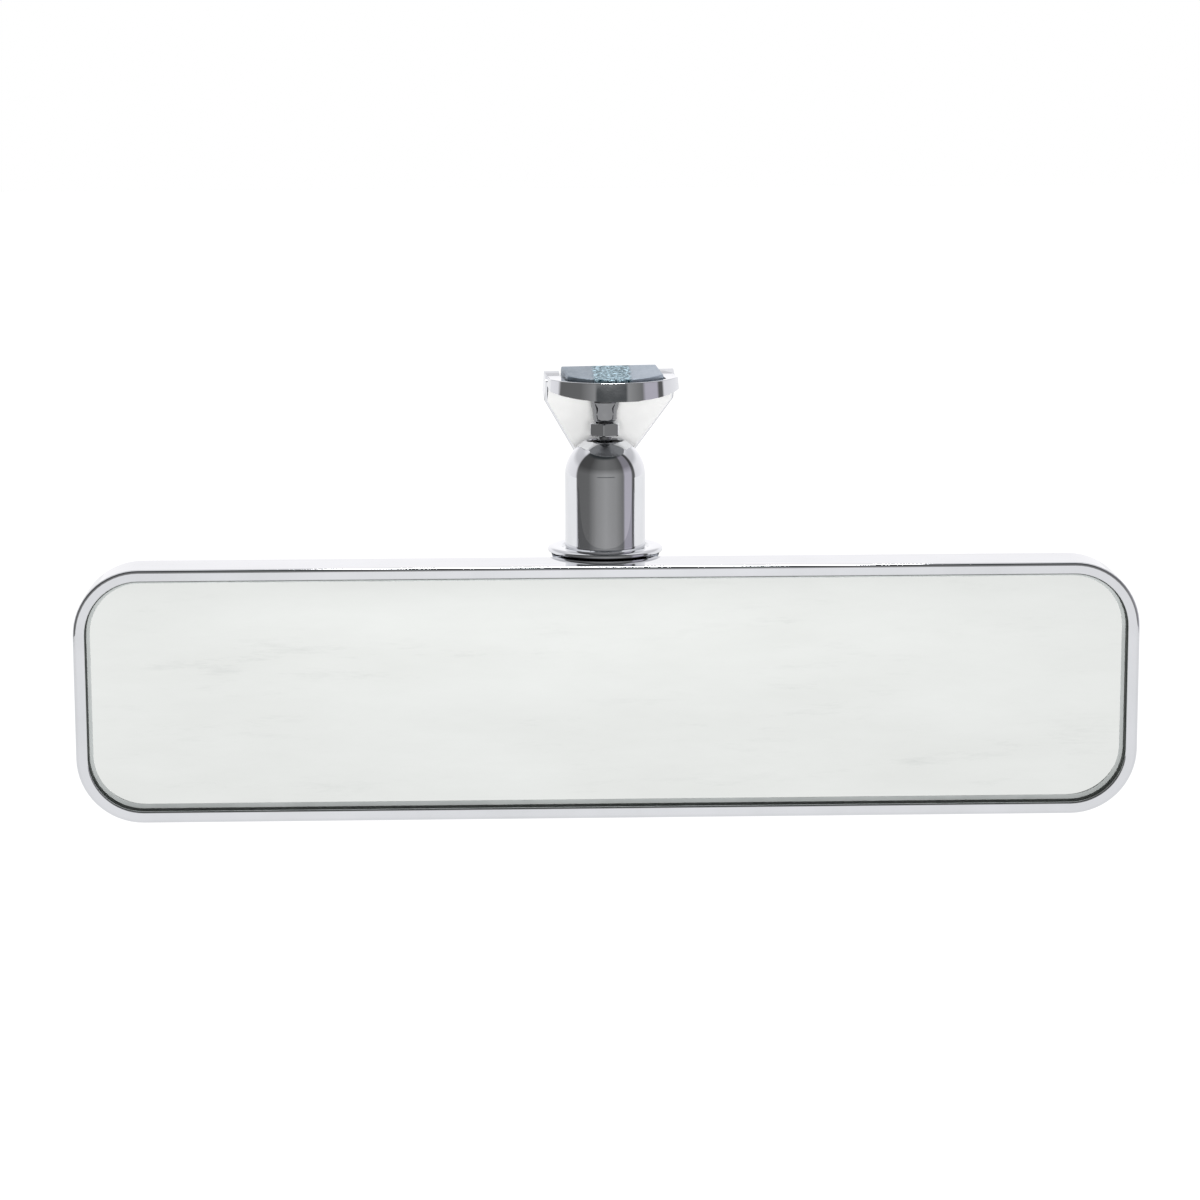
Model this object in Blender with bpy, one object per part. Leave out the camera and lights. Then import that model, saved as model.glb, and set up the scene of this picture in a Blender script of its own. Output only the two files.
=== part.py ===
"""Interior rear-view mirror: chrome framed glass on a ball-jointed tube with a glue-on windscreen foot.

Dimensions are in millimetres in the "bench frame" below and are turned into metres by pos().
Bench frame: X to the driver's right, Y away from the driver, Z up, zero at the middle of the
bezel's front face. The finished part is shifted so that its zero is the middle of the glue face.
"""
import math

import bmesh
import bpy
from mathutils import Matrix, Vector

# head (bezel, glass, rear shell)
HEAD_W = 254.0
HEAD_H = 61.4
HEAD_CORNER_R = 15.8
BEZEL_FACE = 2.75
BEZEL_DEPTH = 13.7
BEZEL_WALL = 1.2
LIP_DEPTH = 3.3
GLASS_INSET = 2.0
GLASS_T = 3.0
SHELL_BACK_Y = 20.0
CORNER_STEPS = 8

# pivot tube and ball joint
AXIS_Y = 22.3
TUBE_R = 9.7
TUBE_BORE_R = 8.5
TUBE_FOOT_Z = 31.6
TUBE_SHOULDER_Z = 49.2
DOME_HOLE_R = 4.35
BALL_Z = 49.2
BALL_R = 6.3
SEAT_IN_R = 6.6
SEAT_OUT_R = 8.1
STUD_NECK_R = 1.9
STUD_FLARE_LOW_R = 3.0
STUD_FLARE_TOP_R = 3.7
STUD_THREAD_R = 2.0
NUT_FLATS = 6.75
NUT_Z0 = 58.95
NUT_Z1 = 62.1
SPIGOT_TOP_Z = 36.0

# bracket on the rear shell
FLANGE_R = 15.4
FLANGE_Z0 = 30.95
LEG_FACE_Y = 20.3
LEG_T = 4.0
BRACKET_SCREWS = ((-7.0, 10.0), (7.0, 10.0), (0.0, -2.0))

# windscreen foot
FOOT_X = 1.5
FOOT_TURN = math.radians(6.5)
COLLAR_R = 15.8
COLLAR_Z0 = 69.0
COLLAR_Z1 = 73.45
GLASS_LEAN = math.radians(30.0)
PLANE_Y = 25.5
PLANE_Z = 75.2
PLATE_T = 4.5
PLATE_TAPER_S = 6.9
PLATE_TIP_S = 30.0
POCKET_DEPTH = 2.4
BUTTON_W = 11.2
BUTTON_END_S = 24.0
BUTTON_END_W = 3.9
SET_SCREW_S = 21.0
PAD_FACE_H = 1.2
ORIGIN_S = 11.5

ROUND = 48


def plane_pos(x, s, h):
    """Bench position of a point on the glass plane: x across, s down the slope, h towards the glass."""
    c = math.cos(GLASS_LEAN)
    n = math.sin(GLASS_LEAN)
    return Vector((FOOT_X + x, PLANE_Y + s * n + h * c, PLANE_Z - s * c + h * n))


def foot_turn():
    """Small turn of the whole foot about the stud, as it stands on the ball joint at rest."""
    stud = Vector((0.0, AXIS_Y, 0.0))
    spin = Matrix.Rotation(FOOT_TURN, 4, "Z")
    return Matrix.Translation(stud) @ spin @ Matrix.Translation(-stud)


ORIGIN = foot_turn() @ plane_pos(0.0, ORIGIN_S, PAD_FACE_H)


def pos(point):
    """Bench millimetres to part metres."""
    return (Vector(point) - ORIGIN) * 0.001


def material(name, colour, roughness, metallic):
    mat = bpy.data.materials.new(name)
    mat.use_nodes = True
    shader = mat.node_tree.nodes["Principled BSDF"]
    shader.inputs["Base Color"].default_value = (colour[0], colour[1], colour[2], 1.0)
    shader.inputs["Roughness"].default_value = roughness
    shader.inputs["Metallic"].default_value = metallic
    mat.diffuse_color = (colour[0], colour[1], colour[2], 1.0)
    return mat


def chrome(name):
    return material(name + "_chrome", (0.80, 0.81, 0.83), 0.06, 1.0)


def steel(name):
    return material(name + "_steel", (0.58, 0.58, 0.60), 0.28, 1.0)


def zinc(name):
    return material(name + "_zinc", (0.60, 0.66, 0.72), 0.42, 1.0)


def nylon(name):
    return material(name + "_nylon", (0.86, 0.85, 0.80), 0.45, 0.0)


def black_rubber(name):
    return material(name + "_rubber", (0.03, 0.03, 0.03), 0.75, 0.0)


def foam(name):
    return material(name + "_foam", (0.16, 0.16, 0.17), 0.95, 0.0)


def silvered_glass(name):
    return material(name + "_silvered", (0.88, 0.90, 0.89), 0.02, 1.0)


def make_object(name, bm, mat, smooth=40.0):
    bmesh.ops.remove_doubles(bm, verts=bm.verts, dist=1e-7)
    bmesh.ops.recalc_face_normals(bm, faces=bm.faces)
    mesh = bpy.data.meshes.new(name)
    bm.to_mesh(mesh)
    bm.free()
    obj = bpy.data.objects.new(name, mesh)
    bpy.context.scene.collection.objects.link(obj)
    if mat:
        mesh.materials.append(mat)
    shade(obj, smooth)
    return obj


def shade(obj, angle):
    bpy.ops.object.select_all(action="DESELECT")
    obj.select_set(True)
    bpy.context.view_layer.objects.active = obj
    bpy.ops.object.shade_smooth_by_angle(angle=math.radians(angle))


def turn_with_foot(obj):
    """Foot pieces are built square to the bench and turned about the stud at the end."""
    shift = Matrix.Translation(-ORIGIN)
    scale = Matrix.Scale(0.001, 4)
    to_part = scale @ shift
    obj.data.transform(to_part @ foot_turn() @ to_part.inverted())
    return obj


def combine(obj, tool, operation):
    """Apply one boolean with the tool object, then throw the tool away."""
    mod = obj.modifiers.new("cut", "BOOLEAN")
    mod.operation = operation
    mod.solver = "EXACT"
    mod.object = tool
    bpy.ops.object.select_all(action="DESELECT")
    obj.select_set(True)
    bpy.context.view_layer.objects.active = obj
    bpy.ops.object.modifier_apply(modifier=mod.name)
    bpy.data.objects.remove(tool, do_unlink=True)


def cut(obj, tool):
    combine(obj, tool, "DIFFERENCE")


def add(obj, tool):
    combine(obj, tool, "UNION")


def loft(bm, loops, closed):
    """Skin equal-length loops of points; closed joins the last to the first, open ends get caps."""
    rings = [[bm.verts.new(pos(p)) for p in loop] for loop in loops]
    count = len(rings[0])
    spans = len(rings) if closed else len(rings) - 1
    for i in range(spans):
        a = rings[i]
        b = rings[(i + 1) % len(rings)]
        for j in range(count):
            k = (j + 1) % count
            bm.faces.new((a[j], a[k], b[k], b[j]))
    if not closed:
        bm.faces.new(rings[0])
        bm.faces.new(rings[-1])
    return rings


def head_loop(inset, y, low=0.0):
    """Rounded rectangle of the head, moved in by inset, at depth y."""
    r = max(HEAD_CORNER_R - inset, 0.5)
    half_w = HEAD_W / 2 - inset
    half_h = HEAD_H / 2 - inset
    points = []
    for cx, cz, start in ((1, 1, 0.0), (-1, 1, 90.0), (-1, -1, 180.0), (1, -1, 270.0)):
        for step in range(CORNER_STEPS + 1):
            a = math.radians(start + 90.0 * step / CORNER_STEPS)
            x = cx * (half_w - r) + r * math.cos(a)
            z = cz * (half_h - r) + r * math.sin(a) + low
            points.append((x, y, z))
    return points


def lathe(name, profile, mat, centre=(0.0, AXIS_Y), steps=ROUND, closed=False, smooth=40.0):
    """Turn a profile of (radius, z) about a vertical axis; closed joins a ring profile to itself."""
    bm = bmesh.new()
    rings = []
    for radius, z in profile:
        if radius < 1e-6:
            rings.append([bm.verts.new(pos((centre[0], centre[1], z)))])
            continue
        ring = []
        for i in range(steps):
            a = 2 * math.pi * i / steps
            point = (centre[0] + radius * math.cos(a), centre[1] + radius * math.sin(a), z)
            ring.append(bm.verts.new(pos(point)))
        rings.append(ring)
    spans = len(rings) if closed else len(rings) - 1
    for i in range(spans):
        a = rings[i]
        b = rings[(i + 1) % len(rings)]
        for j in range(steps):
            k = (j + 1) % steps
            if len(a) == 1:
                bm.faces.new((a[0], b[k], b[j]))
            elif len(b) == 1:
                bm.faces.new((a[j], a[k], b[0]))
            else:
                bm.faces.new((a[j], a[k], b[k], b[j]))
    return make_object(name, bm, mat, smooth)


def prism(name, low, high, mat=None, smooth=30.0):
    """Solid between two matching outlines."""
    bm = bmesh.new()
    loft(bm, [low, high], False)
    return make_object(name, bm, mat, smooth)


def upright(outline, z0, z1):
    return [(x, y, z0) for x, y in outline], [(x, y, z1) for x, y in outline]


def rod_y(name, x, z, radius, y0, y1, mat=None, steps=24):
    ring = [(2 * math.pi * i / steps) for i in range(steps)]
    low = [(x + radius * math.cos(a), y0, z + radius * math.sin(a)) for a in ring]
    high = [(p[0], y1, p[2]) for p in low]
    return prism(name, low, high, mat)


def rod_z(name, x, y, radius, z0, z1, steps=32):
    outline = []
    for i in range(steps):
        a = 2 * math.pi * i / steps
        outline.append((x + radius * math.cos(a), y + radius * math.sin(a)))
    return prism(name, *upright(outline, z0, z1))


def box(name, x0, x1, y0, y1, z0, z1):
    return prism(name, *upright([(x0, y0), (x1, y0), (x1, y1), (x0, y1)], z0, z1))


def arc(radius, start, end, steps):
    angles = [math.radians(start + (end - start) * i / steps) for i in range(steps + 1)]
    return [(radius * math.cos(a), radius * math.sin(a)) for a in angles]


# ---- head -------------------------------------------------------------------------------

def bezel_frame():
    w = BEZEL_WALL
    loops = [
        head_loop(0.0, BEZEL_DEPTH),
        head_loop(0.0, 0.55),
        head_loop(0.16, 0.16),
        head_loop(0.55, 0.0),
        head_loop(BEZEL_FACE - 0.3, 0.0),
        head_loop(BEZEL_FACE, 0.3),
        head_loop(BEZEL_FACE, LIP_DEPTH),
        head_loop(w, LIP_DEPTH),
        head_loop(w, BEZEL_DEPTH),
    ]
    bm = bmesh.new()
    loft(bm, loops, True)
    return make_object("bezel_frame", bm, chrome("bezel_frame"))


def rear_shell():
    outer = [
        head_loop(2.5, 9.0),
        head_loop(1.5, 9.0),
        head_loop(1.5, 14.0),
        head_loop(0.2, 14.0),
        head_loop(0.2, 14.6),
        head_loop(0.9, 16.6),
        head_loop(2.6, 18.4),
        head_loop(5.4, 19.5),
        head_loop(9.0, SHELL_BACK_Y),
    ]
    inner = [
        head_loop(9.4, 19.0),
        head_loop(6.2, 18.6),
        head_loop(3.9, 17.6),
        head_loop(2.5, 15.6),
    ]
    bm = bmesh.new()
    rings = loft(bm, outer, False)
    bm.faces.ensure_lookup_table()
    front_cap = [f for f in bm.faces if len(f.verts) == len(rings[0]) and rings[0][0] in f.verts]
    bmesh.ops.delete(bm, geom=front_cap, context="FACES_ONLY")
    inner_rings = [[bm.verts.new(pos(p)) for p in loop] for loop in inner]
    bm.faces.new(inner_rings[0])
    chain = inner_rings + [rings[0]]
    count = len(chain[0])
    for a, b in zip(chain[:-1], chain[1:]):
        for j in range(count):
            k = (j + 1) % count
            bm.faces.new((a[j], a[k], b[k], b[j]))
    obj = make_object("rear_shell", bm, chrome("rear_shell"))
    for x, z in BRACKET_SCREWS:
        cut(obj, rod_y("hole", x, z, 1.9, 17.0, 22.0))
    return obj


def mirror_glass():
    y0 = LIP_DEPTH + 0.3
    loops = [head_loop(GLASS_INSET, y0 + GLASS_T), head_loop(GLASS_INSET, y0)]
    return prism("mirror_glass", loops[0], loops[1], silvered_glass("mirror_glass"))


def glass_seal():
    y0 = LIP_DEPTH + 0.3
    loops = [head_loop(1.45, y0), head_loop(1.75, y0), head_loop(1.75, 8.7), head_loop(1.45, 8.7)]
    bm = bmesh.new()
    loft(bm, loops, True)
    return make_object("glass_seal", bm, black_rubber("glass_seal"))


def backing_pad():
    y0 = LIP_DEPTH + GLASS_T + 0.6
    return prism("backing_pad", head_loop(2.1, y0), head_loop(2.1, 8.7), foam("backing_pad"))


def reinforcement_plate():
    outline = [(-16.0, -10.0), (16.0, -10.0), (16.0, 17.0), (-16.0, 17.0)]
    low = [(x, 17.1, z) for x, z in outline]
    high = [(x, 18.6, z) for x, z in outline]
    obj = prism("reinforcement_plate", low, high, steel("reinforcement_plate"))
    for x, z in BRACKET_SCREWS:
        cut(obj, rod_y("hole", x, z, 1.9, 15.0, 20.0))
    return obj


def bracket_screw(index, x, z):
    bm = bmesh.new()
    sections = [(1.6, 13.9), (1.6, 24.6), (3.2, 24.6), (3.2, 25.4), (2.6, 26.3), (1.4, 26.6)]
    loops = []
    for radius, y in sections:
        ring = []
        for i in range(24):
            a = 2 * math.pi * i / 24
            ring.append((x + radius * math.cos(a), y, z + radius * math.sin(a)))
        loops.append(ring)
    loft(bm, loops, False)
    name = "bracket_screw_%d" % index
    obj = make_object(name, bm, steel(name))
    for turn in (0.0, 90.0):
        a = math.radians(turn)
        along = Vector((math.cos(a), 0.0, math.sin(a)))
        across = Vector((-math.sin(a), 0.0, math.cos(a)))
        low = []
        for p, q in ((-1.9, -0.4), (1.9, -0.4), (1.9, 0.4), (-1.9, 0.4)):
            low.append(Vector((x, 25.4, z)) + along * p + across * q)
        high = [v + Vector((0.0, 2.0, 0.0)) for v in low]
        cut(obj, prism("recess", low, high))
    return obj


def bracket_nut(index, x, z):
    name = "bracket_nut_%d" % index
    ring = [math.radians(60.0 * i + 30.0) for i in range(6)]
    low = [(x + 3.3 * math.cos(a), 14.4, z + 3.3 * math.sin(a)) for a in ring]
    high = [(p[0], 16.8, p[2]) for p in low]
    obj = prism(name, low, high, steel(name))
    cut(obj, rod_y("hole", x, z, 1.9, 13.0, 18.0))
    return obj


# ---- bracket and pivot ------------------------------------------------------------------

def arm_bracket():
    profile = [
        (0.0, FLANGE_Z0),
        (FLANGE_R, FLANGE_Z0),
        (FLANGE_R, 31.15),
        (12.5, 31.22),
        (10.2, 31.3),
        (8.2, 31.3),
        (8.2, SPIGOT_TOP_Z - 0.5),
        (7.7, SPIGOT_TOP_Z),
        (0.0, SPIGOT_TOP_Z),
    ]
    obj = lathe("arm_bracket", profile, chrome("arm_bracket"))
    corbel = [(0.0, 16.0), (4.5, 16.0), (9.5, 22.0), (13.4, 28.0), (14.8, 31.1), (0.0, 31.1)]
    block = lathe("corbel", corbel, None)
    cut(block, box("half", -30.0, 30.0, -10.0, LEG_FACE_Y, 0.0, 40.0))
    add(obj, block)
    outline = []
    for x, z in arc(11.0, 180.0, 360.0, 16):
        outline.append((x, z + 2.0))
    outline += [(11.0, 31.05), (-11.0, 31.05)]
    low = [(x, LEG_FACE_Y, z) for x, z in outline]
    high = [(x, LEG_FACE_Y + LEG_T, z) for x, z in outline]
    add(obj, prism("leg", low, high))
    for x, z in BRACKET_SCREWS:
        cut(obj, rod_y("hole", x, z, 1.9, 18.0, 30.0))
    cut(obj, rod_y("grub", 0.0, 33.6, 1.7, AXIS_Y + 3.6, AXIS_Y + 12.0))
    shade(obj, 35.0)
    return obj


def tube_grub_screw():
    mat = steel("tube_grub_screw")
    obj = rod_y("tube_grub_screw", 0.0, 33.6, 1.4, AXIS_Y + 4.0, AXIS_Y + 9.9, mat)
    ring = [math.radians(60.0 * i) for i in range(6)]
    low = [(0.7 * math.cos(a), AXIS_Y + 8.6, 33.6 + 0.7 * math.sin(a)) for a in ring]
    high = [(p[0], AXIS_Y + 12.0, p[2]) for p in low]
    cut(obj, prism("socket", low, high))
    return obj


def pivot_tube():
    profile = [(TUBE_BORE_R, TUBE_FOOT_Z), (TUBE_R, TUBE_FOOT_Z)]
    for deg in (0, 9, 18, 27, 36, 45, 53, 60):
        a = math.radians(deg)
        profile.append((TUBE_R * math.cos(a), TUBE_SHOULDER_Z + TUBE_R * math.sin(a)))
    profile.append((DOME_HOLE_R + 0.12, TUBE_SHOULDER_Z + 8.58))
    profile.append((DOME_HOLE_R, TUBE_SHOULDER_Z + 8.4))
    for deg in (59, 50, 40, 30, 20, 10, 0):
        a = math.radians(deg)
        profile.append((TUBE_BORE_R * math.cos(a), TUBE_SHOULDER_Z + TUBE_BORE_R * math.sin(a)))
    obj = lathe("pivot_tube", profile, chrome("pivot_tube"), closed=True)
    cut(obj, rod_y("grub", 0.0, 33.6, 1.7, AXIS_Y + 5.0, AXIS_Y + 12.0))
    shade(obj, 35.0)
    return obj


def sphere_shell(name, start, end, mat):
    """Ring cut from a thin sphere about the ball's centre, between two angles from the top."""
    profile = []
    steps = 6
    for i in range(steps + 1):
        a = math.radians(start + (end - start) * i / steps)
        profile.append((SEAT_OUT_R * math.sin(a), BALL_Z + SEAT_OUT_R * math.cos(a)))
    for i in range(steps + 1):
        a = math.radians(end + (start - end) * i / steps)
        profile.append((SEAT_IN_R * math.sin(a), BALL_Z + SEAT_IN_R * math.cos(a)))
    return lathe(name, profile, mat, closed=True)


def upper_ball_seat():
    return sphere_shell("upper_ball_seat", 38.0, 79.0, nylon("upper_ball_seat"))


def lower_ball_cup():
    return sphere_shell("lower_ball_cup", 101.0, 158.0, nylon("lower_ball_cup"))


def spring_seat():
    bowl = SEAT_OUT_R + 0.3
    profile = [(2.0, BALL_Z - 9.0), (5.6, BALL_Z - 9.0), (8.2, BALL_Z - 6.4), (8.2, BALL_Z - 4.4)]
    profile.append((bowl * math.sin(math.radians(121)), BALL_Z - 4.4))
    for deg in (126, 135, 144, 153, 161):
        a = math.radians(deg)
        profile.append((bowl * math.sin(a), BALL_Z + bowl * math.cos(a)))
    profile.append((2.0, BALL_Z - 8.2))
    return lathe("spring_seat", profile, steel("spring_seat"), closed=True)


def pivot_spring():
    z0 = SPIGOT_TOP_Z + 0.3
    z1 = BALL_Z - 9.3
    wire = 0.5
    turns = 2.5
    radius = 4.9
    steps = 84
    sides = 8
    bm = bmesh.new()
    loops = []
    for i in range(steps + 1):
        t = i / steps
        a = 2 * math.pi * turns * t
        z = z0 + wire + (z1 - z0 - 2 * wire) * t
        ring = []
        for j in range(sides):
            b = 2 * math.pi * j / sides
            r = radius + wire * math.cos(b)
            ring.append((r * math.cos(a), AXIS_Y + r * math.sin(a), z + wire * math.sin(b)))
        loops.append(ring)
    loft(bm, loops, False)
    return make_object("pivot_spring", bm, steel("pivot_spring"))


def ball_stud():
    profile = [(0.0, BALL_Z - BALL_R)]
    for deg in range(-75, 66, 15):
        a = math.radians(deg)
        profile.append((BALL_R * math.cos(a), BALL_Z + BALL_R * math.sin(a)))
    profile += [
        (STUD_NECK_R, BALL_Z + 6.01),
        (STUD_NECK_R, NUT_Z1 + 0.25),
        (STUD_FLARE_LOW_R, NUT_Z1 + 0.6),
        (STUD_FLARE_LOW_R + 0.25, 64.4),
        (STUD_FLARE_TOP_R, 66.6),
        (STUD_FLARE_TOP_R, 68.4),
        (STUD_FLARE_TOP_R - 0.3, 68.7),
        (STUD_THREAD_R, 68.7),
        (STUD_THREAD_R, 70.9),
        (STUD_THREAD_R - 0.3, 71.2),
        (0.0, 71.2),
    ]
    return lathe("ball_stud", profile, chrome("ball_stud"))


def stud_lock_nut():
    corner = NUT_FLATS / math.sqrt(3.0)
    bm = bmesh.new()
    loops = []
    sections = ((0.88, NUT_Z0), (1.0, NUT_Z0 + 0.45), (1.0, NUT_Z1 - 0.45), (0.88, NUT_Z1))
    for scale, z in sections:
        ring = []
        for i in range(6):
            a = math.radians(60.0 * i - 90.0)
            x = scale * corner * math.cos(a)
            y = AXIS_Y + scale * corner * math.sin(a)
            ring.append((x, y, z))
        loops.append(ring)
    loft(bm, loops, False)
    obj = make_object("stud_lock_nut", bm, chrome("stud_lock_nut"), 20.0)
    cut(obj, rod_z("hole", 0.0, AXIS_Y, STUD_NECK_R + 0.3, 55.0, 65.0))
    return obj


# ---- windscreen foot --------------------------------------------------------------------

def beyond_plane(h):
    """Big block on the glass side of the plane, used to trim."""
    corners = ((-40.0, -30.0), (40.0, -30.0), (40.0, 60.0), (-40.0, 60.0))
    low = [plane_pos(x, s, h) for x, s in corners]
    high = [plane_pos(x, s, h + 40.0) for x, s in corners]
    return prism("trim", low, high)


def shield_outline(top_s):
    half = COLLAR_R
    right = [(half, top_s), (half, PLATE_TAPER_S), (6.2, 25.2), (5.2, 27.2), (3.6, 28.9), (1.4, 29.9)]
    left = [(-x, s) for x, s in reversed(right)]
    return right + left


def wedge_outline(grow, top_s, end_s):
    right = [(BUTTON_W + grow, top_s), (BUTTON_W + grow, PLATE_TAPER_S), (BUTTON_END_W + grow, end_s)]
    left = [(-x, s) for x, s in reversed(right)]
    return right + left


def collar_plan(radius, half_width, back_y):
    """Half-round front with straight sides running back to back_y."""
    start = math.degrees(math.acos(min(1.0, half_width / radius)))
    outline = []
    for x, y in arc(radius, 180.0 + start, 360.0 - start, 28):
        outline.append((FOOT_X + x, AXIS_Y + y))
    outline.append((FOOT_X + half_width, back_y))
    outline.append((FOOT_X - half_width, back_y))
    return outline


def foot_casting():
    bm = bmesh.new()
    loops = []
    for shrink, z in ((1.9, COLLAR_Z0), (0.9, 69.25), (0.25, 69.95), (0.0, 70.9), (0.0, COLLAR_Z1)):
        radius = COLLAR_R - shrink
        loops.append([(x, y, z) for x, y in collar_plan(radius, radius, 36.0)])
    loft(bm, loops, False)
    obj = make_object("foot_casting", bm, chrome("foot_casting"))
    outline = shield_outline(1.0)
    inner = [(x * 0.93, s if s < 3.0 else s - 0.6) for x, s in outline]
    bm = bmesh.new()
    loops = [[plane_pos(x, s, -PLATE_T) for x, s in inner]]
    loops.append([plane_pos(x, s, 0.9 - PLATE_T) for x, s in outline])
    loops.append([plane_pos(x, s, 0.0) for x, s in outline])
    loft(bm, loops, False)
    add(obj, make_object("plate", bm, None))
    cut(obj, beyond_plane(0.0))
    recess = collar_plan(COLLAR_R - 1.4, BUTTON_W + 0.7, 45.0)
    cut(obj, prism("recess", *upright(recess, 72.2, 90.0)))
    low = [plane_pos(x, s, -POCKET_DEPTH) for x, s in wedge_outline(0.7, -8.0, BUTTON_END_S + 0.4)]
    high = [plane_pos(x, s, 1.0) for x, s in wedge_outline(-0.47, -8.0, BUTTON_END_S + 0.4)]
    cut(obj, prism("pocket", low, high))
    cut(obj, rod_z("thread", 0.0, AXIS_Y, STUD_THREAD_R + 0.3, 64.0, 71.5))
    cut(obj, rod_z("flare_room", 0.0, AXIS_Y, STUD_FLARE_TOP_R + 0.35, 58.0, COLLAR_Z0))
    ring = [2 * math.pi * i / 24 for i in range(24)]
    low = []
    for a in ring:
        low.append(plane_pos(2.3 * math.cos(a), SET_SCREW_S + 2.3 * math.sin(a), -8.0))
    high = []
    for a in ring:
        high.append(plane_pos(2.3 * math.cos(a), SET_SCREW_S + 2.3 * math.sin(a), -2.0))
    cut(obj, prism("screw_hole", low, high))
    shade(obj, 35.0)
    return turn_with_foot(obj)


def windshield_button():
    bm = bmesh.new()
    loops = [[plane_pos(x, s, -2.1) for x, s in wedge_outline(0.4, 0.6, BUTTON_END_S)]]
    loops.append([plane_pos(x, s, 0.0) for x, s in wedge_outline(-0.4, 0.6, BUTTON_END_S)])
    loops.append([plane_pos(x, s, 0.4) for x, s in wedge_outline(-0.4, 0.6, BUTTON_END_S)])
    loft(bm, loops, False)
    obj = make_object("windshield_button", bm, zinc("windshield_button"))
    plan = collar_plan(COLLAR_R - 2.6, BUTTON_W + 0.4, 36.0)
    head = prism("head", *upright(plan, 72.5, 80.0))
    slope = [(-40.0, 0.0, 73.2), (40.0, 0.0, 73.2), (40.0, 50.0, 77.4), (-40.0, 50.0, 77.4)]
    above = [(x, y, z + 30.0) for x, y, z in slope]
    cut(head, prism("slope", slope, above))
    add(obj, head)
    cut(obj, beyond_plane(0.4))
    shade(obj, 30.0)
    return turn_with_foot(obj)


def windshield_glue_pad():
    low = [plane_pos(x, s, 0.7) for x, s in wedge_outline(-1.0, 1.4, BUTTON_END_S - 1.0)]
    high = [plane_pos(x, s, PAD_FACE_H) for x, s in wedge_outline(-1.0, 1.4, BUTTON_END_S - 1.0)]
    pad = prism("windshield_glue_pad", low, high, black_rubber("windshield_glue_pad"))
    return turn_with_foot(pad)


def foot_set_screw():
    ring = [2 * math.pi * i / 24 for i in range(24)]
    loops = []
    for radius, h in ((1.7, -4.4), (2.0, -4.15), (2.0, -2.75), (1.6, -2.4)):
        loop = []
        for a in ring:
            loop.append(plane_pos(radius * math.cos(a), SET_SCREW_S + radius * math.sin(a), h))
        loops.append(loop)
    bm = bmesh.new()
    loft(bm, loops, False)
    obj = make_object("foot_set_screw", bm, steel("foot_set_screw"))
    low = []
    high = []
    for i in range(6):
        a = math.radians(60.0 * i)
        low.append(plane_pos(1.0 * math.cos(a), SET_SCREW_S + 1.0 * math.sin(a), -8.0))
        high.append(plane_pos(1.0 * math.cos(a), SET_SCREW_S + 1.0 * math.sin(a), -3.1))
    cut(obj, prism("socket", low, high))
    return turn_with_foot(obj)


def main():
    for obj in list(bpy.data.objects):
        bpy.data.objects.remove(obj, do_unlink=True)
    windshield_glue_pad()
    windshield_button()
    foot_casting()
    foot_set_screw()
    ball_stud()
    stud_lock_nut()
    upper_ball_seat()
    lower_ball_cup()
    spring_seat()
    pivot_spring()
    pivot_tube()
    tube_grub_screw()
    arm_bracket()
    for index, (x, z) in enumerate(BRACKET_SCREWS, 1):
        bracket_screw(index, x, z)
        bracket_nut(index, x, z)
    reinforcement_plate()
    rear_shell()
    bezel_frame()
    mirror_glass()
    glass_seal()
    backing_pad()


main()
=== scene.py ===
"""Looks of the interior rear-view mirror.

Chrome frame and pressed back, silvered glass, ball-jointed tube, and the foot that slides
on a zinc button glued to the windscreen.
"""

import math

import bmesh
import bpy
from mathutils import Matrix, Vector


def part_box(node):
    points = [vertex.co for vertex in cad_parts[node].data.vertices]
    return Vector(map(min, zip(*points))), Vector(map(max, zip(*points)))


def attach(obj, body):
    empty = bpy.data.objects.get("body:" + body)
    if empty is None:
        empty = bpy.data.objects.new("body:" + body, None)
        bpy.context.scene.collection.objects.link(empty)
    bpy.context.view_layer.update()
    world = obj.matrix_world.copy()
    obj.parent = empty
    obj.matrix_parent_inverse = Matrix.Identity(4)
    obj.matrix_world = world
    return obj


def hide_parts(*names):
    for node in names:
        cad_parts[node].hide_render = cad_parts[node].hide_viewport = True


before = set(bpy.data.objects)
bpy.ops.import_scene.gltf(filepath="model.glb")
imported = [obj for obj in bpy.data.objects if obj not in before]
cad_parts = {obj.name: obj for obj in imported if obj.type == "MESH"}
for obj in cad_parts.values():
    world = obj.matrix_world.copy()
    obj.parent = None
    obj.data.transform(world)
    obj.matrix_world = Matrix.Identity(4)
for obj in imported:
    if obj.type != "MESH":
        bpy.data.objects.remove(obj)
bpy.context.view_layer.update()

MM = 0.001
QUARTER = math.pi / 2

# Bench measures are millimetres from the middle of the frame's front face.
BEZEL_LOW, BEZEL_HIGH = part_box("bezel_frame")
BENCH = Vector(((BEZEL_LOW.x + BEZEL_HIGH.x) / 2, BEZEL_LOW.y, (BEZEL_LOW.z + BEZEL_HIGH.z) / 2))
HEAD_W = (BEZEL_HIGH.x - BEZEL_LOW.x) / MM
HEAD_H = (BEZEL_HIGH.z - BEZEL_LOW.z) / MM
BEZEL_DEPTH = (BEZEL_HIGH.y - BEZEL_LOW.y) / MM
CORNER_R = 15.8                      # outline of the head
BEZEL_FACE = 2.75                    # width of the frame's front face
LIP_DEPTH = 3.3                      # how far the glass is set back
GLASS_SET = math.radians(0.6)        # the pane leans forward in its seat

TUBE_LOW, TUBE_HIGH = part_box("pivot_tube")
AXIS = (((TUBE_LOW.x + TUBE_HIGH.x) / 2 - BENCH.x) / MM,
        ((TUBE_LOW.y + TUBE_HIGH.y) / 2 - BENCH.y) / MM)
TUBE_R = (TUBE_HIGH.x - TUBE_LOW.x) / 2 / MM
BALL_Z = 49.2                        # centre of the ball in the tube

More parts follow.
